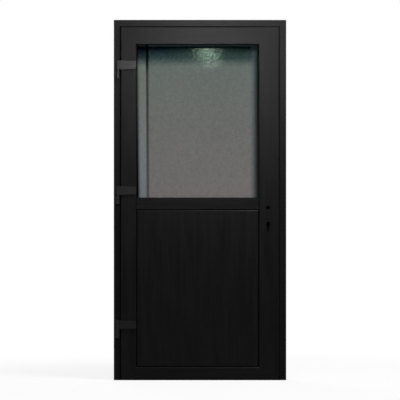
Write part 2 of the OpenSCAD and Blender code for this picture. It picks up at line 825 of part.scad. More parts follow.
// Four beads round a rebate, cut at 45 degrees with a hairline joint
module beads(floor) {
    a = grow(floor, bead_groove_d);
    b = grow(floor, -lip_w);
    module side(points) {
        intersection() {
            children();
            facing(leaf_y, leaf_y + leaf_d + over) polygon(points);
        }
    }
    color(foil) {
        side([[a[0], a[1] + bead_fit], [b[0], b[1] + bead_fit], [b[0], b[3] - bead_fit],
            [a[0], a[3] - bead_fit]])
            upright(a[1], a[3]) edge_left(floor[0], leaf_y) polygon(bead_outline);
        side([[a[2], a[1] + bead_fit], [b[2], b[1] + bead_fit], [b[2], b[3] - bead_fit],
            [a[2], a[3] - bead_fit]])
            upright(a[1], a[3]) edge_right(floor[2], leaf_y) polygon(bead_outline);
        side([[a[0] + bead_fit, a[1]], [b[0] + bead_fit, b[1]], [b[2] - bead_fit, b[1]],
            [a[2] - bead_fit, a[1]]])
            crossbar(a[0], a[2]) edge_down(leaf_y, floor[1]) polygon(bead_outline);
        side([[a[0] + bead_fit, a[3]], [b[0] + bead_fit, b[3]], [b[2] - bead_fit, b[3]],
            [a[2] - bead_fit, a[3]]])
            crossbar(a[0], a[2]) edge_up(leaf_y, floor[3]) polygon(bead_outline);
    }
}
module glass_beads() {
    beads(grow(glass_open, lip_w));
}

// Panel

panel_face = grow(panel_open, -panel_joint);
panel_edge = grow(panel_open, lip_w - glazing_gap);
// The skin's edges fall back at 45 degrees over its own thickness
module panel_outer_skin() {
    f = panel_face;
    back_y = leaf_y + panel_skin;
    color(foil) intersection() {
        upright(f[1], f[3]) polygon([[f[0] + panel_skin, leaf_y], [f[2] - panel_skin, leaf_y],
            [f[2], back_y], [f[0], back_y]]);
        crossbar(f[0], f[2]) polygon([[leaf_y, f[1] + panel_skin], [leaf_y, f[3] - panel_skin],
            [back_y, f[3]], [back_y, f[1]]]);
    }
}
module panel_core() {
    color([0.45, 0.55, 0.62]) {
        facing(leaf_y + panel_skin, unit_y) rect(panel_face);
        facing(unit_y, unit_back_y - panel_back_skin) rect(panel_edge);
    }
}
module panel_inner_skin() {
    color(foil) facing(unit_back_y - panel_back_skin, unit_back_y) rect(panel_edge);
}
module panel_seal() {
    seal_ring(panel_open);
}
module panel_beads() {
    beads(grow(panel_open, lip_w));
}
// Two blocks under the glass and two under the panel
module setting_blocks() {
    quarter = (open_r - open_l) / 4;
    mid = (open_r + open_l) / 2;
    color([0.2, 0.3, 0.22]) for (open = [glass_open, panel_open], side = [-1, 1])
        translate([mid + side * quarter - setting_block / 2, unit_y, open[1] - lip_w])
            cube([setting_block, unit_t, glazing_gap]);
}

// Lock

// Outline of a bolt's way, seen along the bolt
module bolt_way(b, fit) {
    translate([lock_v - bolt_t / 2 - fit, b[0] - b[1] / 2 - fit])
        square([bolt_t + 2 * fit, b[1] + 2 * fit]);
}
function case_posts(c) = [c[0] + post_in, c[1] - post_in];
module lock_faceplate() {
    end_r = face_w / 2;
    color(zinc) lock_side() crossbar(flange_w, flange_w + face_t) difference() {
        union() {
            translate([lock_v - end_r, face_low + end_r])
                square([face_w, face_high - face_low - face_w]);
            for (z = [face_low + end_r, face_high - end_r]) translate([lock_v, z]) circle(r = end_r);
        }
        for (b = BOLTS) bolt_way(b, slide_fit);
    }
}
module case_shell(c, bolts) {
    v0 = lock_v - case_t / 2;
    v1 = lock_v + case_t / 2;
    difference() {
        box([case_s, v0, c[0]], [case_s + c[2], v1, c[1]]);
        box([case_s + case_wall, v0 + case_wall, c[0] + case_wall],
            [case_s + c[2] - case_wall, v1 - case_wall, c[1] - case_wall]);
        crossbar(case_s - over, case_s + case_wall + over) for (b = bolts) bolt_way(b, slide_fit);
    }
    for (z = case_posts(c)) bore_across(flange_w + face_t, case_s + case_wall, lock_v, z, post_r);
}
module lock_case() {
    color(zinc) lock_side() difference() {
        case_shell(MAIN_CASE, [LATCH, DEADBOLT]);
        bore_back(spindle_s, 0, leaf_d, spindle_z, collar_r + follower_fit);
        facing(0, leaf_d) translate([spindle_s, cylinder_z]) {
            circle(r = cylinder_r);
            translate([0, cylinder_half - cylinder_low]) circle(r = cylinder_half);
            translate([-cylinder_half, cylinder_half - cylinder_low])
                square([2 * cylinder_half, cylinder_low - cylinder_half]);
        }
    }
}
module lock_upper_case() {
    color(zinc) lock_side() case_shell(UPPER_CASE, [UPPER_BOLT]);
}
module lock_lower_case() {
    color(zinc) lock_side() case_shell(LOWER_CASE, [LOWER_BOLT]);
}
// The follower stands turned, with its lever holding the latch back
module lock_follower() {
    hub_t = bolt_t;
    color([0.7, 0.68, 0.6]) lock_side() translate([spindle_s, lock_v, spindle_z])
        rotate([0, follower_turn, 0]) difference() {
            union() {
                bore_back(0, -case_t / 2, case_t / 2, 0, collar_r);
                bore_back(0, -hub_t / 2, hub_t / 2, 0, hub_r);
                bore_back(0, -lever_t / 2, lever_t / 2, lever_l, lever_tip_r);
                box([-lever_tip_r, -lever_t / 2, 0], [lever_tip_r, lever_t / 2, lever_l]);
            }
            cube([spindle_square, 2 * case_t, spindle_square], center = true);
        }
}
module lock_latch() {
    v0 = lock_v - bolt_t / 2;
    v1 = lock_v + bolt_t / 2;
    lug_z = spindle_z + hub_r + hub_gap;
    color([0.75, 0.75, 0.74]) lock_side() {
        upright(latch_z - latch_h / 2, latch_z + latch_h / 2)
            polygon([[flange_w, v0], [flange_w + latch_l, v0], [flange_w + latch_l, v1],
                [flange_w + latch_bevel, v1]]);
        box([flange_w + latch_l, lock_v - lever_t / 2, latch_z - shank_h / 2],
            [lug_s + lug_t, lock_v + lever_t / 2, latch_z + shank_h / 2]);
        box([lug_s, lock_v - lever_t / 2, lug_z], [lug_s + lug_t, lock_v + lever_t / 2, latch_z]);
    }
}
module bolt(b) {
    color([0.75, 0.75, 0.74]) lock_side()
        box([flange_w, lock_v - bolt_t / 2, b[0] - b[1] / 2],
            [flange_w + bolt_l, lock_v + bolt_t / 2, b[0] + b[1] / 2]);
}
module lock_deadbolt() {
    bolt(DEADBOLT);
}
module lock_upper_bolt() {
    bolt(UPPER_BOLT);
}
module lock_lower_bolt() {
    bolt(LOWER_BOLT);
}
// One rail behind the faceplate, with room for the bolts and posts that it slides past
module lock_drive_rail() {
    color(zinc) lock_side() crossbar(drive_s, drive_s + drive_t) difference() {
        translate([lock_v - drive_w / 2, LOWER_CASE[0]])
            square([drive_w, UPPER_CASE[1] - LOWER_CASE[0]]);
        for (b = BOLTS) for (down = [0, drive_travel]) translate([0, -down]) bolt_way(b, slide_fit);
        for (b = BOLTS)
            translate([lock_v - bolt_t / 2 - slide_fit, b[0] - b[1] / 2 - drive_travel])
                square([bolt_t + 2 * slide_fit, drive_travel + b[1]]);
        for (c = CASES) for (z = case_posts(c)) {
            for (down = [0, drive_travel]) translate([lock_v, z - down]) circle(r = post_r + slide_fit);
            translate([lock_v - post_r - slide_fit, z - drive_travel])
                square([2 * (post_r + slide_fit), drive_travel]);
        }
    }
}

// Hinges, each drawn about its own axis from the bottom of its lower knuckle

module at_hinge(z) {
    translate([hinge_x, hinge_y, z]) children();
}
module hinge_frame_leaf(z) {
    color(hinge_black) at_hinge(z) difference() {
        upright(0, frame_knuckle_h) {
            circle(r = knuckle_r);
            translate([-knuckle_r, 0]) square([2 * knuckle_r, hinge_out]);
        }
        upright(knuckle_cap, frame_knuckle_h + over) circle(r = pin_r);
    }
}
module hinge_pin(z) {
    color(zinc) at_hinge(z) upright(knuckle_cap, pin_top) circle(r = pin_r);
}
bush_r = pin_r + pin_fit + bush_wall;
module hinge_bushes() {
    color([0.85, 0.84, 0.8]) for (h = HINGES) at_hinge(h[1]) difference() {
        union() {
            upright(collar_z, leaf_knuckle_z) circle(r = knuckle_r - collar_fit);
            upright(collar_z, hinge_h - knuckle_cap) circle(r = bush_r);
        }
        upright(collar_z - over, hinge_h) circle(r = pin_r + pin_fit);
    }
}
// Front outline of the arm, drawn in by a margin, in the hinge's own X and Z
arm_x0 = knuckle_r + cover_fit;
arm_x1 = cover_end - hinge_x;
arm_mid = (leaf_knuckle_z + hinge_h) / 2;
module arm_shape(x0, inset) {
    root = (hinge_h - leaf_knuckle_z) / 2 - inset;
    tip = arm_tip_h / 2 - inset;
    polygon([[x0, arm_mid - root], [arm_x1 - inset, arm_mid - tip],
        [arm_x1 - inset, arm_mid + tip], [x0, arm_mid + root]]);
}
face_out = hinge_y - leaf_y;
module hinge_door_leaf(z) {
    color(hinge_black) at_hinge(z) difference() {
        union() {
            upright(leaf_knuckle_z, hinge_h) circle(r = knuckle_r);
            facing(-face_out - arm_plate, -face_out) arm_shape(0, cover_wall + cover_fit);
        }
        upright(leaf_knuckle_z - over, hinge_h - knuckle_cap) circle(r = bush_r);
    }
}
module hinge_cover(z) {
    color(hinge_black) at_hinge(z) difference() {
        union() {
            facing(-face_out - arm_cover + cover_chamfer, -face_out) arm_shape(arm_x0, 0);
            facing(-face_out - arm_cover, -face_out) arm_shape(arm_x0, cover_chamfer);
        }
        facing(-face_out - arm_plate - cover_fit, over - face_out)
            arm_shape(arm_x0 - over, cover_wall);
    }
}

frame_head();
frame_jamb_hinge();
frame_jamb_lock();
frame_head_steel();
frame_jamb_hinge_steel();
frame_jamb_lock_steel();
threshold_front_rail();
threshold_core();
threshold_rear_rail();
frame_seal();
strike_main();
strike_upper();
strike_lower();
leaf_stile_hinge();
leaf_stile_lock();
leaf_top_rail();
leaf_bottom_rail();
leaf_transom();
leaf_stile_hinge_steel();
leaf_stile_lock_steel();
leaf_top_rail_steel();
leaf_bottom_rail_steel();
leaf_transom_steel();
leaf_seal();
bottom_brush();
glass_outer_pane();
glass_inner_pane();
glass_spacer();
glass_seal();
glass_beads();
panel_outer_skin();
panel_core();
panel_inner_skin();
panel_seal();
panel_beads();
setting_blocks();
lock_faceplate();
lock_case();
lock_upper_case();
lock_lower_case();
lock_follower();
lock_latch();
lock_deadbolt();
lock_upper_bolt();
lock_lower_bolt();
lock_drive_rail();
hinge_bushes();
for (h = HINGES) {
    hinge_frame_leaf(h[1]);
    hinge_pin(h[1]);
    hinge_door_leaf(h[1]);
    hinge_cover(h[1]);
}
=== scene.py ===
"""Finishes, fine pieces and studio for a half-glazed entrance door in its frame.

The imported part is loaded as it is. Each operator in the Door panel gives one group of parts its
finish and adds the pieces that are too fine for the part: glass relief, bristles, screws and caps.
"""

import json
import math
import random

import bmesh
import bpy
from bpy.props import FloatProperty, FloatVectorProperty, IntProperty, PointerProperty
from mathutils import Matrix, Vector, noise


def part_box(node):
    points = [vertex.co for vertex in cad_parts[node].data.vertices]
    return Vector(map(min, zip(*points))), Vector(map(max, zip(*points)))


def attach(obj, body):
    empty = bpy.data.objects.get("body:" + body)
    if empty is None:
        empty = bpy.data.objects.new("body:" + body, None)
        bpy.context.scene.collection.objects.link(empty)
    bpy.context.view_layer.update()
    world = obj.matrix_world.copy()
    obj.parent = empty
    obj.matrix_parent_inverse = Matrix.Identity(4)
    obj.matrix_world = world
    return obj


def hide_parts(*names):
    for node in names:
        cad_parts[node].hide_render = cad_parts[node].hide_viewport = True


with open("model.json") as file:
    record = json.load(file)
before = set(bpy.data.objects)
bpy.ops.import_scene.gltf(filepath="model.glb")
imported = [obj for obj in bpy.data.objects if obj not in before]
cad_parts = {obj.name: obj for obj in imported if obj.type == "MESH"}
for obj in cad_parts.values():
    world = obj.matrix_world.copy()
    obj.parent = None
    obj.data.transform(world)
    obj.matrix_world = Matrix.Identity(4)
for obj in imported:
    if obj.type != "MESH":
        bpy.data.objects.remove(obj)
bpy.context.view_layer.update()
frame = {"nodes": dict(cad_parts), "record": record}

bl_info = {
    "name": "Half-glazed door",
    "version": (1, 0, 0),
    "blender": (4, 5, 0),
    "location": "View3D > Sidebar > Door",
    "description": "Finishes, fine pieces and studio for a half-glazed entrance door",
    "category": "Object",
}

UPRIGHT = 2
LEVEL = 0
HINGES = ("low", "middle", "high")

# Foil made duller and darkened with painted shade: either side of the leaf's edge, and down from the top of
# each ledge, in metres
JOINT = (-0.0045, 0.005)
SILL_LEDGE = 0.005
FOOT_LEDGE = 0.003

# Where the pane's painted shade and light and its tones change, as (start, end), in metres across it from the
# hinge stile
HINGE_SHADE = (-0.006, 0.017)
STRIP_END = (0.05, 0.06)
LINE = (0.058, 0.064)
SIDE_BLEND = (0.1, 0.36)
LOCK_FALL = (0.1, 0.55)

# The painted shade beside the lock stile as (start, end), in metres from that stile
LOCK_SHADE = (0.056, 0.002)

# The pane's matt rim, painted shade and grain as (start, end), in metres down from the top rail
RIM_END = (0.017, 0.021)
DUSK_END = (0.04, 0.12)
GRAIN_FALL = (0.06, 0.14)
LINE_FALL = (0.11, 0.18)

# The painted shade above the transom as (start, end), in metres up from it
LEDGE_SHADE = (0.0015, 0.004)

# The brush's carrier, how deep tufts stand in it and how uneven their ends are, in metres
CARRIER_H = 0.0075
CARRIER_D = 0.0192
CARRIER_INSET = 0.0145
ROOT_DEPTH = 0.0005
TUFT_UNEVEN = 0.0006

# A head's dome as (share of its radius, share of its height), and the floor of its recess likewise
DOME = ((1.0, 0.0), (0.97, 0.4), (0.86, 0.78), (0.72, 0.95))
RECESS_FLOOR = (0.92, 0.12)

# A quarter of a cross recess, in a head of radius 1
CROSS = ((0.58, -0.15), (0.58, 0.15), (0.15, 0.15))

# How far screws sit from the ends of faceplate, cases and strikes, in metres
PLATE_SCREW = 0.03
CASE_SCREW = 0.025
STRIKE_SCREW = 0.012

# The key milling, and the gap round a plug in its drilling, in metres
KEY_R = 0.011
KEY_FOOT_W = 0.014
KEY_FOOT_DROP = 0.047
PLUG_FIT = 0.00005

# Each lamp as its place, the point that it looks at and its size, in metres
LAMPS = {
    "front": ((0.059, -2.5, 2.08), (0.0, 0.0, 1.9), (0.11, 0.12)),
    "key": ((0.9, -0.9, 3.6), (0.0, 0.0, 1.3), (0.8, 0.4)),
    "rear": ((-1.2, 3.2, 2.6), (0.0, 0.0, 1.0), (1.6, 1.2)),
}

# The floor's half width, and where it turns white to the camera, in metres from its middle
FLOOR_REACH = 40
FLOOR_FADE = (0.9, 2.6)


def tone(red, green, blue):
    """A display colour, 0 to 255 in each channel, as linear RGBA."""
    shares = [channel / 255 for channel in (red, green, blue)]
    linear = [s / 12.92 if s <= 0.04045 else ((s + 0.055) / 1.055) ** 2.4 for s in shares]
    return (*linear, 1.0)


def grey(level):
    """A linear grey as RGBA."""
    return (level, level, level, 1.0)


def colour(name, description, default):
    """A colour property."""
    return FloatVectorProperty(
        name=name, description=description, default=default, subtype="COLOR", size=4, min=0, max=1
    )


def length(name, description, default):
    """A length property, in metres."""
    return FloatProperty(name=name, description=description, default=default, unit="LENGTH", precision=5)


def share(name, description, default):
    """A property between 0 and 1."""
    return FloatProperty(name=name, description=description, default=default, subtype="FACTOR", min=0, max=1)


def power(name, description, default):
    """A lamp's power, in watts."""
    return FloatProperty(name=name, description=description, default=default, unit="POWER")


class DoorFoil(bpy.types.PropertyGroup):
    """Colours and grain of the foil on profiles and panel."""

    dark: colour("Dark", "Colour between the grain streaks", tone(11, 11, 12))
    light: colour("Light", "Colour of the grain streaks", tone(20, 20, 21))
    roughness: share("Roughness", "Mean roughness of the foil", 0.41)
    streak: length("Streak width", "Usual width of one grain streak", 0.024)
    stretch: FloatProperty(name="Stretch", description="Length of a streak over its width", default=14)
    emboss: length("Emboss", "Depth of the embossed pores", 0.00012)


class DoorGlass(bpy.types.PropertyGroup):
    """Tones and relief of the obscure pane."""

    # Rim is a painted reflection of the top rail in the pane
    rim: colour("Rim", "Tone right under the top rail", tone(56, 68, 68))
    # Shade is the top rail's painted shadow on the pane
    shade: colour("Shade", "Tone of the dark line below that", tone(0, 3, 4))
    # The dark bands and their rises on either side are painted shade under the top rail
    shade_band: colour("Band", "Tone of the dark band on the hinge side", tone(14, 30, 40))
    shade_band_lock: colour("Band, lock side", "Tone of the dark band on the lock side", tone(34, 53, 50))
    rise: colour("Rise", "Tone where the band fades out on the hinge side", tone(44, 59, 58))
    rise_lock: colour("Rise, lock side", "Tone where the band fades out on the lock side", tone(47, 63, 60))
    # The tones lighten down the pane: painted light that evens out the overhead lamp's fall-off
    upper: colour("Upper", "Tone under the band", tone(98, 106, 102))
    middle: colour("Middle", "Tone at half height", tone(112, 114, 112))
    lower: colour("Lower", "Tone above the transom", tone(130, 126, 125))
    cool: colour("Cool", "Tone beside the hinge stile and the lock stile", tone(112, 126, 133))
    sheen: colour("Sheen", "Tint of the pane's reflections", (0.7, 1.0, 0.75, 1.0))
    gloss: share("Gloss", "Strength of the pane's reflections", 0.0125)
    transmission: share("Transmission", "Share of light that passes the pane", 0.005)
    roughness: share("Roughness", "Roughness of the pane", 0.05)
    cell: length("Relief cell", "Usual width of one dimple", 0.013)
    depth: length("Relief depth", "Depth of the dimples", 0.0001)
    ripple: length("Ripple depth", "Depth of the fine ripples on the dimples", 0.0005)
    step: length("Relief step", "Grid step of the relief mesh", 0.004)
    margin: length("Plain edge", "Plain border that the seal rests on", 0.02)


class DoorHardware(bpy.types.PropertyGroup):
    """Colours and small sizes of hinges, lock and screws."""

    coat: colour("Powder coat", "Colour of the hinges", tone(3, 3, 4))
    steel: colour("Steel", "Colour of lock plates", tone(176, 178, 180))
    # The lock cases are blackened, which also paints the shade seen through the drillings
    case: colour("Lock case", "Colour of the blackened lock cases", tone(5, 5, 6))
    bright: colour("Bolt steel", "Colour of latch and bolts", tone(205, 206, 205))
    screw_r: length("Screw head", "Radius of a screw head", 0.004)
    screw_h: length("Screw dome", "Height of a screw head", 0.001)
    cap_r: length("Hinge cap", "Radius of a hinge cap", 0.0075)
    cap_h: length("Hinge cap height", "Height of a hinge cap", 0.0008)
    plug_t: length("Plug thickness", "Thickness of the plugs in the inside drillings", 0.0015)


class DoorSeals(bpy.types.PropertyGroup):
    """Colours and bristles of seals and sweep."""

    rubber: colour("Rubber", "Colour of the seals", tone(7, 7, 8))
    fibre: colour("Fibre", "Colour of the bristles", tone(30, 30, 31))
    tuft_gap: length("Tuft spacing", "Distance between bristle tufts", 0.0032)
    rows: IntProperty(name="Rows", description="Rows of tufts side by side", default=3)
    tuft_r: length("Tuft radius", "Radius of a tuft at its root", 0.0009)


class DoorStudio(bpy.types.PropertyGroup):
    """Camera and lamps."""

    distance: length("Camera distance", "Distance of the camera from the door", 12.0)
    framed: length("Framed width", "Width that fills the picture at the door", 2.331)
    aim: length("Aim height", "Height of the picture's middle", 1.05)
    front_power: power("Front", "Power of the lamp in front", 10.8)
    key_power: power("Key", "Power of the lamp overhead", 90)
    rear_power: power("Rear", "Power of the lamp behind", 60)
    ambient: FloatProperty(name="Ambient", description="Soft light from all round", default=0.3)
    dim: FloatProperty(name="Room", description="Brightness of the room in reflections", default=0.03)


class Wire:
    """One shader socket. Arithmetic adds Math nodes, and node() adds any other node."""

    def __init__(self, tree, socket=None):
        self.tree = tree
        self.socket = socket

    def node(self, kind, settings=None, inputs=None, output=0):
        """Adds a node, gives it its settings and then its sockets, and returns one output."""
        made = self.tree.nodes.new(kind)
        for key, value in (settings or {}).items():
            if key == "stops":
                fill_ramp(made.color_ramp, value)
            else:
                setattr(made, key, value)
        for key, value in (inputs or {}).items():
            if isinstance(value, Wire):
                self.tree.links.new(value.socket, made.inputs[key])
            else:
                made.inputs[key].default_value = value
        return Wire(self.tree, made.outputs[output])

    def also(self, output):
        """Another output of the same node."""
        return Wire(self.tree, self.socket.node.outputs[output])

    def math(self, operation, *values):
        """A Math node on those values."""
        return self.node("ShaderNodeMath", {"operation": operation}, dict(enumerate(values)))

    def __add__(self, other):
        return self.math("ADD", self, other)

    __radd__ = __add__

    def __sub__(self, other):
        return self.math("SUBTRACT", self, other)

    def __rsub__(self, other):
        return self.math("SUBTRACT", other, self)

    def __mul__(self, other):
        return self.math("MULTIPLY", self, other)

    __rmul__ = __mul__


def fill_ramp(ramp, stops):
    """Sets a colour ramp to stops of (place, colour)."""
    ramp.interpolation = "LINEAR"
    while len(ramp.elements) < len(stops):
        ramp.elements.new(0.5)
    for element, (place, value) in zip(ramp.elements, stops):
        element.position = place
        element.color = value


def fade(wire, low, high):
    """0 up to low, 1 from high on, smooth between."""
    return wire.node("ShaderNodeMapRange", {"interpolation_type": "SMOOTHSTEP"}, {0: wire, 1: low, 2: high})


def between(wire, low, high, soft):
    """1 from low to high, 0 outside, smooth over a soft margin."""
    return fade(wire, low - soft, low) * (1 - fade(wire, high, high + soft))


def blend(wire, low, high):
    """The colour low where the wire is 0, high where it is 1."""
    return wire.node("ShaderNodeMix", {"data_type": "RGBA"}, {0: wire, 6: low, 7: high}, 2)


def scaled(tint, factor):
    """A colour, constant or from a wire, times a wire."""
    channels = tint if isinstance(tint, Wire) else tint[:3]
    return factor.node("ShaderNodeVectorMath", {"operation": "SCALE"}, {0: channels, "Scale": factor})


def spread(place, scale):
    """Coordinates with their own number of cells per metre along each axis."""
    return place.node("ShaderNodeMapping", None, {"Vector": place, "Scale": scale})


def clouds(place, scale, detail, rough=0.55):
    """Noise around one half."""
    values = {"Vector": spread(place, scale), "Scale": 1.0, "Detail": detail, "Roughness": rough}
    return place.node("ShaderNodeTexNoise", None, values)


def cells(place, scale, randomness=1.0, output=0):
    """Distance to the middle of the nearest cell, or another output of the cells."""
    values = {"Vector": spread(place, scale), "Scale": 1.0, "Randomness": randomness}
    return place.node("ShaderNodeTexVoronoi", None, values, output)


def bump(height, depth, strength=1.0):
    """A normal from a height in 0 to 1."""
    return height.node("ShaderNodeBump", None, {"Strength": strength, "Distance": depth, "Height": height})


def along(axis, across, ratio):
    """Cells per metre that are stretched along one axis."""
    scale = [across] * 3
    scale[axis] = across / ratio
    return tuple(scale)


def new_finish(name, constants):
    """A Principled material with those constants, and its object coordinates."""
    finish = bpy.data.materials.new(name)
    finish.use_nodes = True
    shader = finish.node_tree.nodes["Principled BSDF"]
    for key, value in constants.items():
        shader.inputs[key].default_value = value
    return finish, Wire(finish.node_tree).node("ShaderNodeTexCoord", output="Object")


def feed(finish, links):
    """Links wires to the sockets of a finish's shader."""
    shader = finish.node_tree.nodes["Principled BSDF"]
    for key, wire in links.items():
        finish.node_tree.links.new(wire.socket, shader.inputs[key])
    return finish


def dress(finish, *names):
    """Gives CAD nodes a finish."""
    for name in names:
        frame["nodes"][name].material_slots[0].material = finish


def opening_sides():
    """Where the openings for glass and panel start and end across the leaf."""
    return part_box("leaf_stile_hinge")[1].x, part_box("leaf_stile_lock")[0].x


def shaded_dull_edges(place):
    """1 along the joint of leaf and frame and on the ledges under glass and panel, where the foil is duller
    and darkened with painted shade.
    """
    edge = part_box("leaf_stile_lock")[1].x
    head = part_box("leaf_top_rail")[1].z
    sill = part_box("leaf_transom")[1].z
    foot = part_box("leaf_bottom_rail")[1].z
    left, right = opening_sides()
    axis = place.node("ShaderNodeSeparateXYZ", None, {0: place})
    height = axis.also("Z")
    beyond = axis.math("MAXIMUM", axis - edge, height - head)
    joint = between(beyond, *JOINT, 0.0015) * fade(axis, -edge - 0.004, -edge)
    sill_ledge = between(height, sill - SILL_LEDGE, sill, 0.001)
    foot_ledge = between(height, foot - FOOT_LEDGE, foot, 0.001)
    ledges = (sill_ledge + foot_ledge * 0.7) * between(axis, left, right, 0.001)
    return axis.math("MAXIMUM", joint, ledges)


def foil_finish(name, axis, settings):
    """Embossed grain foil, with its streaks along one axis."""
    finish, place = new_finish(name, {"Specular IOR Level": 0.3})
    shade_and_dull = shaded_dull_edges(place)
    streaks = clouds(place, along(axis, 1 / settings.streak, settings.stretch), 4.0)
    hairs = clouds(place, along(axis, 900.0, 60.0), 2.0)
    pores = fade(hairs, 0.58, 0.72)
    grain = blend(fade(streaks, 0.32, 0.68) * 0.8 + hairs * 0.2, settings.dark, settings.light)
    return feed(
        finish,
        {
            # Painted shade darkens the foil along the joint and on the ledges
            "Base Color": scaled(grain, 1 - shade_and_dull * 0.9),
            "Roughness": settings.roughness - 0.05 + streaks * 0.08 + pores * 0.08 + shade_and_dull * 0.5,
            "Normal": bump(1 - pores * 0.7 + streaks * 0.2, settings.emboss, 0.6),
        },
    )


def brushed_finish(name, axis, tint, metal, rough):
    """Brushed or drawn metal, with its lines along one axis."""
    finish, place = new_finish(name, {"Metallic": metal})
    lines = clouds(place, along(axis, 1500.0, 80.0), 3.0, 0.7)
    wear = clouds(place, (35.0, 35.0, 35.0), 4.0)
    return feed(
        finish,
        {
            "Base Color": scaled(tint, 0.8 + lines * 0.3),
            "Roughness": rough - 0.08 + lines * 0.12 + wear * 0.08,
            "Normal": bump(lines, 0.00004, 0.5),
        },
    )


def galvanised_finish():
    """Galvanised steel with its spangle."""
    finish, place = new_finish("door_galvanised", {"Metallic": 1.0})
    spangle = cells(place, (95.0, 95.0, 60.0), output="Color")
    facet = spangle.node("ShaderNodeSeparateXYZ", None, {0: spangle})
    stain = clouds(place, (12.0, 12.0, 5.0), 5.0)
    return feed(
        finish,
        {
            "Base Color": blend(facet * 0.7 + stain * 0.3, tone(128, 132, 136), tone(186, 190, 194)),
            "Roughness": 0.32 + facet * 0.22,
            "Normal": bump(facet, 0.00003),
        },
    )


def moulded_finish(name, tint, rough, cell, depth, gloss=0.5):
    """Moulded plastic or coat: fine orange peel and a little cloudiness."""
    finish, place = new_finish(name, {"Specular IOR Level": gloss})
    peel = clouds(place, (1 / cell,) * 3, 2.0)
    cloud = clouds(place, (30.0, 30.0, 30.0), 4.0)
    return feed(
        finish,
        {
            "Base Color": scaled(tint, 0.82 + cloud * 0.36),
            "Roughness": rough - 0.06 + cloud * 0.12,
            "Normal": bump(peel, depth),
        },
    )


def rubber_finish(settings):
    """Extruded seal rubber with faint bloom."""
    finish, place = new_finish("door_rubber", {"Specular IOR Level": 0.08})
    bloom = clouds(place, (22.0, 22.0, 8.0), 5.0)
    skin = clouds(place, (700.0, 700.0, 700.0), 2.0)
    return feed(
        finish,
        {
            "Base Color": scaled(settings.rubber, 0.7 + bloom * 0.6),
            "Roughness": 0.66 + bloom * 0.16,
            "Normal": bump(skin, 0.00006),
        },
    )


def fibre_finish(settings):
    """Bristles with streaks along the strands."""
    finish, place = new_finish("door_fibre", {"Specular IOR Level": 0.3})
    strand = clouds(place, (1800.0, 1800.0, 60.0), 2.0)
    return feed(
        finish,
        {
            "Base Color": scaled(settings.fibre, 0.5 + strand),
            "Roughness": 0.7 + strand * 0.2,
            "Normal": bump(strand, 0.0002),
        },
    )


def spacer_finish():
    """Spacer bar with rows of vent openings, dented and painted dark as shade."""
    finish, place = new_finish("door_spacer", {"Metallic": 0.9})
    vent_dents_and_shade = 1 - fade(cells(place, (160.0, 250.0, 160.0), randomness=0.0), 0.16, 0.24)
    mill = clouds(place, (400.0, 40.0, 400.0), 2.0)
    return feed(
        finish,
        {
            # The vent openings are painted dark as shade
            "Base Color": blend(vent_dents_and_shade, tone(168, 172, 175), tone(28, 28, 28)),
            "Roughness": 0.3 + mill * 0.15 + vent_dents_and_shade * 0.3,
            "Normal": bump(1 - vent_dents_and_shade, 0.0003),
        },
    )


def foam_finish():
    """Grey rigid foam with closed cells."""
    finish, place = new_finish("door_foam", {"Specular IOR Level": 0.2})
    bubbles = cells(place, (900.0, 900.0, 900.0))
    cloud = clouds(place, (18.0, 18.0, 18.0), 4.0)
    return feed(
        finish,
        {
            "Base Color": blend(cloud, tone(62, 64, 67), tone(84, 86, 89)),
            "Roughness": 0.85 + bubbles * 0.1,
            "Normal": bump(bubbles, 0.0004),
        },
    )


def clear_glass_finish():
    """Clear float glass with a trace of smear."""
    finish, place = new_finish("door_clear_glass", {"Transmission Weight": 1.0, "IOR": 1.5})
    smear = clouds(place, (6.0, 6.0, 3.0), 6.0, 0.65)
    return feed(
        finish,
        {
            "Base Color": blend(smear, tone(238, 246, 242), tone(246, 250, 248)),
            "Roughness": fade(smear, 0.5, 0.8) * 0.04,
            "Normal": bump(smear, 0.00002),
        },
    )


def pane_tones(settings, across, level, strip, lock_edge):
    """The pane's colours, with painted reflection, shadow and shade under the top rail: one ramp down each
    side, blended across, and cooler beside the stiles.
    """
    sides = []
    for shade_band, rise in ((settings.shade_band, settings.rise), (settings.shade_band_lock, settings.rise_lock)):
        stops = [
            # Painted reflection of the top rail, its painted shadow and the dark painted shade, then tones
            # that lighten as painted light against the lamp's fall-off
            (0.01, settings.rim),
            (0.014, settings.shade),
            (0.019, settings.shade),
            (0.025, shade_band),
            (0.086, rise),
            (0.145, settings.upper),
            (0.5, settings.middle),
            (1.0, settings.lower),
        ]
        sides.append(level.node("ShaderNodeValToRGB", {"stops": stops}, {0: level}))
    tint = blend(fade(across, *SIDE_BLEND), *sides)
    # The cool tone goes beside the hinge stile and into the painted shade beside the lock stile
    cool = across.math("MAXIMUM", strip * fade(level, 0.3, 1.0), lock_edge)
    return blend(cool * 0.6, tint, settings.cool)


def pane_grain(place, down, dimples):
    """The pane's grain around 1, strongest under the top rail."""
    mottle = clouds(place, (190.0, 190.0, 190.0), 3.0)
    clumps = clouds(place, (48.0, 48.0, 48.0), 2.0)
    relief = (dimples - 0.5) * (0.75 - fade(down, *GRAIN_FALL) * 0.55)
    return 0.7 + mottle * 0.36 + clumps * 0.24 + relief


def painted_pane_shade(across, down, level, strip, height):
    """The pane's painted light and shade: darker beside the hinge stile, above the transom and along one
    upright line.
    """
    strength = 0.97 - fade(down, *LINE_FALL) * 0.22 - level * 0.25
    line = between(across - level * 0.005, *LINE, 0.009) * strength
    hinge_edge = fade(across - level * 0.011, *HINGE_SHADE)
    ledge = fade(height - down, *LEDGE_SHADE) * 0.8 + 0.2
    evened = 1 - fade(across, *LOCK_FALL) * (0.15 - level * 0.12) + strip * 0.15
    dusk = 1 - strip * (1 - fade(down, *DUSK_END)) * 0.5
    return (1 - line) * hinge_edge * ledge * evened * dusk


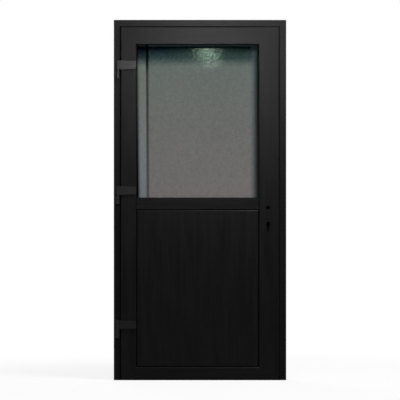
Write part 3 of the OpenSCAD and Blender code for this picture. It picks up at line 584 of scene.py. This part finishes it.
def obscure_glass_finish(settings):
    """Dimpled obscure glass: dark under the rail in painted shade, grey below."""
    left, right = opening_sides()
    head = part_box("leaf_top_rail")[0].z
    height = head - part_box("leaf_transom")[1].z
    constants = {
        "Transmission Weight": settings.transmission,
        "IOR": 1.5,
        "Specular IOR Level": settings.gloss,
        "Specular Tint": settings.sheen,
    }
    finish, place = new_finish("door_obscure_glass", constants)
    axis = place.node("ShaderNodeSeparateXYZ", None, {0: place})
    across = axis - left
    down = head - axis.also("Z")
    dimples = clouds(place, (1 / settings.cell,) * 3, 2.0)
    level = (down + (dimples - 0.5) * 0.012) * (1 / height)
    strip = 1 - fade(across, *STRIP_END)
    lock_edge = fade(across, *[right - left - inset for inset in LOCK_SHADE])
    # Painted shade, also darker beside the lock stile where the lip's shadow falls
    painted_shade = painted_pane_shade(across, down, level, strip, height) * (1 - lock_edge * 0.82)
    rim = 1 - fade(down, *RIM_END)
    return feed(
        finish,
        {
            "Base Color": scaled(
                pane_tones(settings, across, level, strip, lock_edge),
                painted_shade * pane_grain(place, down, dimples),
            ),
            "Roughness": settings.roughness - 0.02 + dimples * 0.04 + rim * 0.8,
            "Normal": bump(dimples, settings.ripple, 0.5),
        },
    )


def arc(radius, sweep, steps):
    """Points along a round stretch, with both its ends."""
    angles = [sweep * k / steps for k in range(steps + 1)]
    return [(radius * math.cos(angle), radius * math.sin(angle)) for angle in angles]


def circle(radius, steps):
    """Points round a circle."""
    return arc(radius, math.tau, steps)[:-1]


def new_piece(name, body, finish, mesh):
    """An object that rides on a body and takes the finish it is given."""
    piece = bpy.data.objects.new(name, mesh)
    bpy.context.scene.collection.objects.link(piece)
    mesh.materials.append(finish)
    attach(piece, body)
    return piece


def mesh_from(name, bm, smooth_below):
    """A mesh from a bmesh, with edges flatter than that angle smooth."""
    bmesh.ops.recalc_face_normals(bm, faces=bm.faces)
    for face in bm.faces:
        face.smooth = True
    for edge in bm.edges:
        edge.smooth = len(edge.link_faces) == 2 and edge.calc_face_angle() < smooth_below
    mesh = bpy.data.meshes.new(name)
    bm.to_mesh(mesh)
    bm.free()
    return mesh


def relief_pane_mesh(settings):
    """The outer pane with a dimpled outside face, never proud of the plain pane."""
    low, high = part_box("glass_outer_pane")
    columns = round((high.x - low.x) / settings.step)
    rows = round((high.z - low.z) / settings.step)
    bm = bmesh.new()
    grid = []
    for i in range(columns + 1):
        x = low.x + (high.x - low.x) * i / columns
        line = []
        for j in range(rows + 1):
            z = low.z + (high.z - low.z) * j / rows
            rim = min(x - low.x, high.x - x, z - low.z, high.z - z)
            rise = min(1.0, max(0.0, (rim - settings.margin) / settings.margin))
            point = Vector((x, 0, z)) / settings.cell
            wave = 0.5 + 0.5 * noise.noise(point) + 0.2 * noise.noise(point * 2.1)
            line.append(bm.verts.new((x, low.y + settings.depth * rise * min(1.0, max(0.0, wave)), z)))
        grid.append(line)
    for i in range(columns):
        for j in range(rows):
            bm.faces.new((grid[i][j], grid[i + 1][j], grid[i + 1][j + 1], grid[i][j + 1]))
    rim = [grid[i][0] for i in range(columns)]
    rim += [grid[columns][j] for j in range(rows)]
    rim += [grid[i][rows] for i in range(columns, 0, -1)]
    rim += [grid[0][j] for j in range(rows, 0, -1)]
    back = [bm.verts.new((vert.co.x, high.y, vert.co.z)) for vert in rim]
    for k, vert in enumerate(rim):
        after = (k + 1) % len(rim)
        bm.faces.new((vert, back[k], back[after], rim[after]))
    bm.faces.new(back)
    return mesh_from("obscure_pane", bm, math.radians(50))


def add_prism(bm, near, far):
    """Sides between two loops of corners, and a face on each loop."""
    for k in range(len(near)):
        after = (k + 1) % len(near)
        bm.faces.new((near[k], near[after], far[after], far[k]))
    bm.faces.new(far)
    bm.faces.new(near)


def add_tuft(bm, root, tip, radius):
    """One tuft of bristles, five-sided and thinner at its tip."""
    ends = [
        [bm.verts.new((point.x + x, point.y + y, point.z)) for x, y in circle(wide, 5)]
        for point, wide in ((root, radius), (tip, radius * 0.55))
    ]
    add_prism(bm, *ends)


def sweep_mesh(settings):
    """Rows of bristle tufts under a carrier, filling the room of the plain brush."""
    low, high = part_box("bottom_brush")
    draw = random.Random(7)
    bm = bmesh.new()
    radius = settings.tuft_r
    carrier_low = high.z - CARRIER_H
    middle = (low.y + high.y) / 2
    size = Vector((high.x - low.x - 2 * CARRIER_INSET, CARRIER_D, CARRIER_H))
    centre = Vector((low.x + CARRIER_INSET + size.x / 2, middle, carrier_low + CARRIER_H / 2))
    bmesh.ops.create_cube(bm, size=1, matrix=Matrix.Translation(centre) @ Matrix.Diagonal((*size, 1)))
    count = round((high.x - low.x) / settings.tuft_gap)
    for row in range(settings.rows):
        y = middle + (row - (settings.rows - 1) / 2) * 2 * radius
        for k in range(count):
            x = low.x + settings.tuft_gap * (k + 0.5 + 0.25 * (row % 2))
            x = min(high.x - 2 * radius, x)
            lean = Vector((draw.uniform(-1, 1), draw.uniform(-0.6, 0.6), 0)) * radius * 0.8
            foot = low.z + draw.uniform(0, TUFT_UNEVEN)
            root = Vector((x, y, carrier_low + ROOT_DEPTH))
            add_tuft(bm, root, Vector((x + lean.x, y + lean.y, foot)), radius)
    return mesh_from("sweep_brush", bm, math.radians(30))


def cross_outline():
    """The outline of a cross recess in a head of radius 1."""
    points = []
    for quarter in range(4):
        turn = Matrix.Rotation(quarter * math.pi / 2, 2)
        points += [tuple(turn @ Vector(point)) for point in CROSS]
    return points


def add_cap(bm, place, radius, height, recess):
    """A low domed head with a recess of that outline, looking along the place's Z."""

    def ring(points, rise):
        return [bm.verts.new(place @ Vector((x * radius, y * radius, rise * height))) for x, y in points]

    inward, floor = RECESS_FLOOR
    loops = [ring(circle(wide, 24), rise) for wide, rise in DOME]
    loops.append(ring(recess, 1.0))
    loops.append(ring([(x * inward, y * inward) for x, y in recess], floor))
    for loop in loops:
        for a, b in zip(loop, loop[1:] + loop[:1]):
            bm.edges.new((a, b))
    for outer, inner in zip(loops, loops[1:]):
        sides = [bm.edges.get(pair) for loop in (outer, inner) for pair in zip(loop, loop[1:] + loop[:1])]
        bmesh.ops.bridge_loops(bm, edges=sides)
    bm.faces.new(loops[-1])


def facing(point, direction):
    """A place at a point whose Z looks along a direction."""
    return Matrix.Translation(point) @ Vector(direction).to_track_quat("Z", "Y").to_matrix().to_4x4()


def caps_mesh(name, places, radius, height, recess):
    """One mesh of like caps."""
    bm = bmesh.new()
    for place in places:
        add_cap(bm, place, radius, height, recess)
    return mesh_from(name, bm, math.radians(35))


def plate_screws():
    """Where the faceplate's screws sit: at its ends and beside each case."""
    low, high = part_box("lock_faceplate")
    middle = (low.y + high.y) / 2
    heights = [low.z + PLATE_SCREW, high.z - PLATE_SCREW]
    for case in ("lock_case", "lock_upper_case", "lock_lower_case"):
        case_low, case_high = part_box(case)
        heights += [case_low.z - CASE_SCREW, case_high.z + CASE_SCREW]
    return [facing((high.x, middle, z), (1, 0, 0)) for z in sorted(heights)]


def strike_screws():
    """Where the strikes' screws sit: near both ends of each strike."""
    places = []
    for strike in ("strike_main", "strike_upper", "strike_lower"):
        low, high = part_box(strike)
        middle = (low.y + high.y) / 2
        heights = (low.z + STRIKE_SCREW, high.z - STRIKE_SCREW)
        places += [facing((low.x, middle, z), (-1, 0, 0)) for z in heights]
    return places


def hinge_caps(part, end, direction):
    """Where a hinge's caps sit: on the pin's axis at one end of its knuckles."""
    places = []
    for hinge in HINGES:
        pin = sum(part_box(f"hinge_{hinge}_pin"), Vector()) / 2
        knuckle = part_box(f"hinge_{hinge}_{part}")[end]
        places.append(facing((pin.x, pin.y, knuckle.z), (0, 0, direction)))
    return places


def plug_mesh(thickness):
    """Two flat plugs flush with the inside face: one round, one keyhole-shaped."""
    mounts = {mount["name"]: mount for mount in frame["record"]["mounts"]}
    spindle = mounts["spindle_bore_inside"]
    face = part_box("leaf_stile_lock")[1].y
    drilling = circle(spindle["dims"]["r_mm"] / 1000 - PLUG_FIT, 40)
    foot_x = KEY_FOOT_W / 2 - PLUG_FIT
    foot_z = PLUG_FIT - KEY_FOOT_DROP
    keyhole = arc(KEY_R - PLUG_FIT, math.pi, 20) + [(-foot_x, foot_z), (foot_x, foot_z)]
    bm = bmesh.new()
    for mount, outline in ((spindle, drilling), (mounts["cylinder_way"], keyhole)):
        middle_x, _, middle_z = mount["pos_m"]
        loops = [
            [bm.verts.new((middle_x + x, y, middle_z + z)) for x, z in outline]
            for y in (face - thickness, face)
        ]
        add_prism(bm, *loops)
    return mesh_from("drilling_plugs", bm, math.radians(35))


class DOOR_OT_foil(bpy.types.Operator):
    """Foil on frame, leaf and panel, its grain along each profile"""

    bl_idname = "door.foil"
    bl_label = "Foil profiles"

    def execute(self, context):
        settings = context.scene.door_foil
        upright = foil_finish("door_foil_upright", UPRIGHT, settings)
        level = foil_finish("door_foil_level", LEVEL, settings)
        dress(upright, "frame_jamb_hinge", "frame_jamb_lock", "leaf_stile_hinge", "leaf_stile_lock")
        dress(upright, "panel_outer_skin", "panel_inner_skin")
        dress(level, "frame_head", "leaf_top_rail", "leaf_bottom_rail", "leaf_transom")
        dress(level, "glass_beads", "panel_beads")
        return {"FINISHED"}


class DOOR_OT_glass(bpy.types.Operator):
    """Obscure outer pane with its relief, clear inner pane, spacer and panel core"""

    bl_idname = "door.glass"
    bl_label = "Glass and panel"

    def execute(self, context):
        settings = context.scene.door_glass
        finish = obscure_glass_finish(settings)
        pane = new_piece("obscure_pane", "leaf", finish, relief_pane_mesh(settings))
        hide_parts("glass_outer_pane")
        dress(clear_glass_finish(), "glass_inner_pane")
        dress(spacer_finish(), "glass_spacer")
        dress(foam_finish(), "panel_core")
        return {"FINISHED"}


class DOOR_OT_seals(bpy.types.Operator):
    """Rubber seals, setting blocks and the bottom sweep"""

    bl_idname = "door.seals"
    bl_label = "Seals and sweep"

    def execute(self, context):
        settings = context.scene.door_seals
        dress(rubber_finish(settings), "frame_seal", "leaf_seal", "glass_seal", "panel_seal")
        dress(moulded_finish("door_block", tone(70, 72, 74), 0.5, 0.002, 0.00005), "setting_blocks")
        finish = fibre_finish(settings)
        sweep = new_piece("sweep_brush", "leaf", finish, sweep_mesh(settings))
        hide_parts("bottom_brush")
        return {"FINISHED"}


class DOOR_OT_hinges(bpy.types.Operator):
    """Powder-coated hinges, their covers, pins, bushes and end caps"""

    bl_idname = "door.hinges"
    bl_label = "Hinges"

    def execute(self, context):
        settings = context.scene.door_hardware
        coat = moulded_finish("door_hinge_coat", settings.coat, 0.44, 0.0012, 0.00001, 0.95)
        cover = moulded_finish("door_hinge_cover", settings.coat, 0.39, 0.0008, 0.00001, 0.88)
        pin = brushed_finish("door_pin", UPRIGHT, settings.bright, 1.0, 0.28)
        for hinge in HINGES:
            dress(coat, f"hinge_{hinge}_frame_leaf", f"hinge_{hinge}_door_leaf")
            dress(cover, f"hinge_{hinge}_cover")
            dress(pin, f"hinge_{hinge}_pin")
        dress(moulded_finish("door_nylon", tone(20, 20, 21), 0.5, 0.001, 0.00003), "hinge_bushes")
        for name, body, places in (
            ("hinge_caps_leaf", "leaf", hinge_caps("door_leaf", 1, 1)),
            ("hinge_caps_frame", "frame", hinge_caps("frame_leaf", 0, -1)),
        ):
            mesh = caps_mesh(name, places, settings.cap_r, settings.cap_h, circle(0.5, 6))
            new_piece(name, body, coat, mesh)
        return {"FINISHED"}


class DOOR_OT_lock(bpy.types.Operator):
    """Lock, bolts, strikes, their screws and the plugs in the inside drillings"""

    bl_idname = "door.lock"
    bl_label = "Lock and strikes"

    def execute(self, context):
        settings = context.scene.door_hardware
        plate = brushed_finish("door_lock_plate", UPRIGHT, settings.steel, 1.0, 0.34)
        bolt = brushed_finish("door_bolt", LEVEL, settings.bright, 1.0, 0.26)
        dress(plate, "lock_faceplate", "lock_drive_rail", "strike_main", "strike_upper", "strike_lower")
        # Cases and follower are blackened, which also paints the shade in the drillings
        case = brushed_finish("door_lock_case", UPRIGHT, settings.case, 0.3, 0.65)
        dress(case, "lock_case", "lock_upper_case", "lock_lower_case", "lock_follower")
        dress(bolt, "lock_latch", "lock_deadbolt", "lock_upper_bolt", "lock_lower_bolt")
        for name, body, places in (
            ("faceplate_screws", "leaf", plate_screws()),
            ("strike_screws", "frame", strike_screws()),
        ):
            mesh = caps_mesh(name, places, settings.screw_r, settings.screw_h, cross_outline())
            new_piece(name, body, bolt, mesh)
        plug = moulded_finish("door_plug", settings.case, 0.6, 0.001, 0.00003)
        new_piece("drilling_plugs", "leaf", plug, plug_mesh(settings.plug_t))
        return {"FINISHED"}


class DOOR_OT_threshold(bpy.types.Operator):
    """Anodised threshold rails and their insulating core"""

    bl_idname = "door.threshold"
    bl_label = "Threshold"

    def execute(self, context):
        rail = brushed_finish("door_rail", LEVEL, tone(34, 34, 35), 0.7, 0.4)
        dress(rail, "threshold_front_rail", "threshold_rear_rail")
        dress(moulded_finish("door_break", tone(44, 44, 46), 0.6, 0.0015, 0.00008), "threshold_core")
        return {"FINISHED"}


class DOOR_OT_cores(bpy.types.Operator):
    """Galvanised steel tubes inside the profiles"""

    bl_idname = "door.cores"
    bl_label = "Steel cores"

    def execute(self, context):
        dress(galvanised_finish(), *[name for name in frame["nodes"] if name.endswith("_steel")])
        return {"FINISHED"}


def add_lamp(name, place, aim, size, watts):
    """A rectangular lamp that looks at a point."""
    data = bpy.data.lights.new(name, "AREA")
    data.shape = "RECTANGLE"
    data.size, data.size_y = size
    data.energy = watts
    lamp = bpy.data.objects.new(name, data)
    lamp.location = place
    lamp.rotation_euler = (Vector(aim) - Vector(place)).to_track_quat("-Z", "Y").to_euler()
    bpy.context.scene.collection.objects.link(lamp)


def mixed(factor, low, high):
    """The shader low where the factor is 0, high where it is 1."""
    return factor.node("ShaderNodeMixShader", None, {0: factor, 1: low, 2: high})


def studio_world(settings):
    """White to the camera, and to gloss and glass behind the door; soft ambient light, dim in reflections."""
    world = bpy.data.worlds.new("studio")
    world.use_nodes = True
    tree = world.node_tree
    rays = Wire(tree).node("ShaderNodeLightPath", output="Is Camera Ray")
    way = rays.node("ShaderNodeTexCoord", output="Generated")
    behind = fade(way.node("ShaderNodeSeparateXYZ", None, {0: way}, "Y"), 0.2, 0.6)
    mirrored = (rays.also("Is Glossy Ray") + rays.also("Is Transmission Ray")) * behind
    white = rays.math("MINIMUM", rays + mirrored, 1.0)
    levels = (settings.dim, settings.ambient, 1.0)
    room, soft, screen = [
        rays.node("ShaderNodeBackground", None, {"Color": grey(1.0), "Strength": level}) for level in levels
    ]
    unlit = mixed(rays.also("Is Diffuse Ray"), room, soft)
    tree.links.new(mixed(white, unlit, screen).socket, tree.nodes["World Output"].inputs["Surface"])
    return world


def studio_floor():
    """A pale floor that shows the door's shadow and turns white further off."""
    bm = bmesh.new()
    bmesh.ops.create_grid(bm, x_segments=1, y_segments=1, size=FLOOR_REACH)
    mesh = bpy.data.meshes.new("floor")
    bm.to_mesh(mesh)
    bm.free()
    floor = bpy.data.objects.new("floor", mesh)
    bpy.context.scene.collection.objects.link(floor)
    finish = bpy.data.materials.new("studio_floor")
    finish.use_nodes = True
    tree = finish.node_tree
    rays = Wire(tree).node("ShaderNodeLightPath", output="Is Camera Ray")
    place = rays.node("ShaderNodeTexCoord", output="Object")
    reach = place.node("ShaderNodeVectorMath", {"operation": "LENGTH"}, {0: place}, "Value")
    white = rays * (0.82 + fade(reach, *FLOOR_FADE) * 0.18)
    pale = blend(rays, grey(0.22), grey(0.85))
    matt = rays.node("ShaderNodeBsdfDiffuse", None, {"Color": pale})
    glow = rays.node("ShaderNodeEmission", None, {"Color": grey(1.0), "Strength": 1.0})
    tree.links.new(mixed(white, matt, glow).socket, tree.nodes["Material Output"].inputs["Surface"])
    mesh.materials.append(finish)


class DOOR_OT_stage(bpy.types.Operator):
    """Floor, lamps, white surroundings and the camera"""

    bl_idname = "door.stage"
    bl_label = "Stage"

    def execute(self, context):
        scene = context.scene
        settings = scene.door_studio
        scene.view_settings.view_transform = "Standard"
        scene.world = studio_world(settings)
        studio_floor()
        for name, (place, aim, size) in LAMPS.items():
            add_lamp(name, place, aim, size, getattr(settings, f"{name}_power"))
        data = bpy.data.cameras.new("camera")
        camera = bpy.data.objects.new("camera", data)
        camera.location = (0.0, -settings.distance, settings.aim)
        camera.rotation_euler = (math.pi / 2, 0.0, 0.0)
        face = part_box("frame_head")[0].y
        data.lens = data.sensor_width * (settings.distance + face) / settings.framed
        scene.collection.objects.link(camera)
        scene.camera = camera
        return {"FINISHED"}


OPERATORS = (
    DOOR_OT_foil,
    DOOR_OT_glass,
    DOOR_OT_seals,
    DOOR_OT_hinges,
    DOOR_OT_lock,
    DOOR_OT_threshold,
    DOOR_OT_cores,
    DOOR_OT_stage,
)
SETTINGS = {
    "door_foil": DoorFoil,
    "door_glass": DoorGlass,
    "door_hardware": DoorHardware,
    "door_seals": DoorSeals,
    "door_studio": DoorStudio,
}


class DOOR_PT_panel(bpy.types.Panel):
    """The door's settings and operators"""

    bl_idname = "DOOR_PT_panel"
    bl_label = "Door"
    bl_space_type = "VIEW_3D"
    bl_region_type = "UI"
    bl_category = "Door"

    def draw(self, context):
        for operator in OPERATORS:
            self.layout.operator(operator.bl_idname)
        for name, group in SETTINGS.items():
            box = self.layout.box()
            box.label(text=group.__name__)
            for key in group.__annotations__:
                box.prop(getattr(context.scene, name), key)


def register():
    for group in SETTINGS.values():
        bpy.utils.register_class(group)
    for name, group in SETTINGS.items():
        setattr(bpy.types.Scene, name, PointerProperty(type=group))
    for made in (*OPERATORS, DOOR_PT_panel):
        bpy.utils.register_class(made)


def unregister():
    for made in (DOOR_PT_panel, *reversed(OPERATORS)):
        bpy.utils.unregister_class(made)
    for name in SETTINGS:
        delattr(bpy.types.Scene, name)
    for group in SETTINGS.values():
        bpy.utils.unregister_class(group)


def main():
    register()
    bpy.ops.door.foil()
    bpy.ops.door.glass()
    bpy.ops.door.seals()
    bpy.ops.door.hinges()
    bpy.ops.door.lock()
    bpy.ops.door.threshold()
    bpy.ops.door.cores()
    bpy.ops.door.stage()


if __name__ == "__main__":
    main()
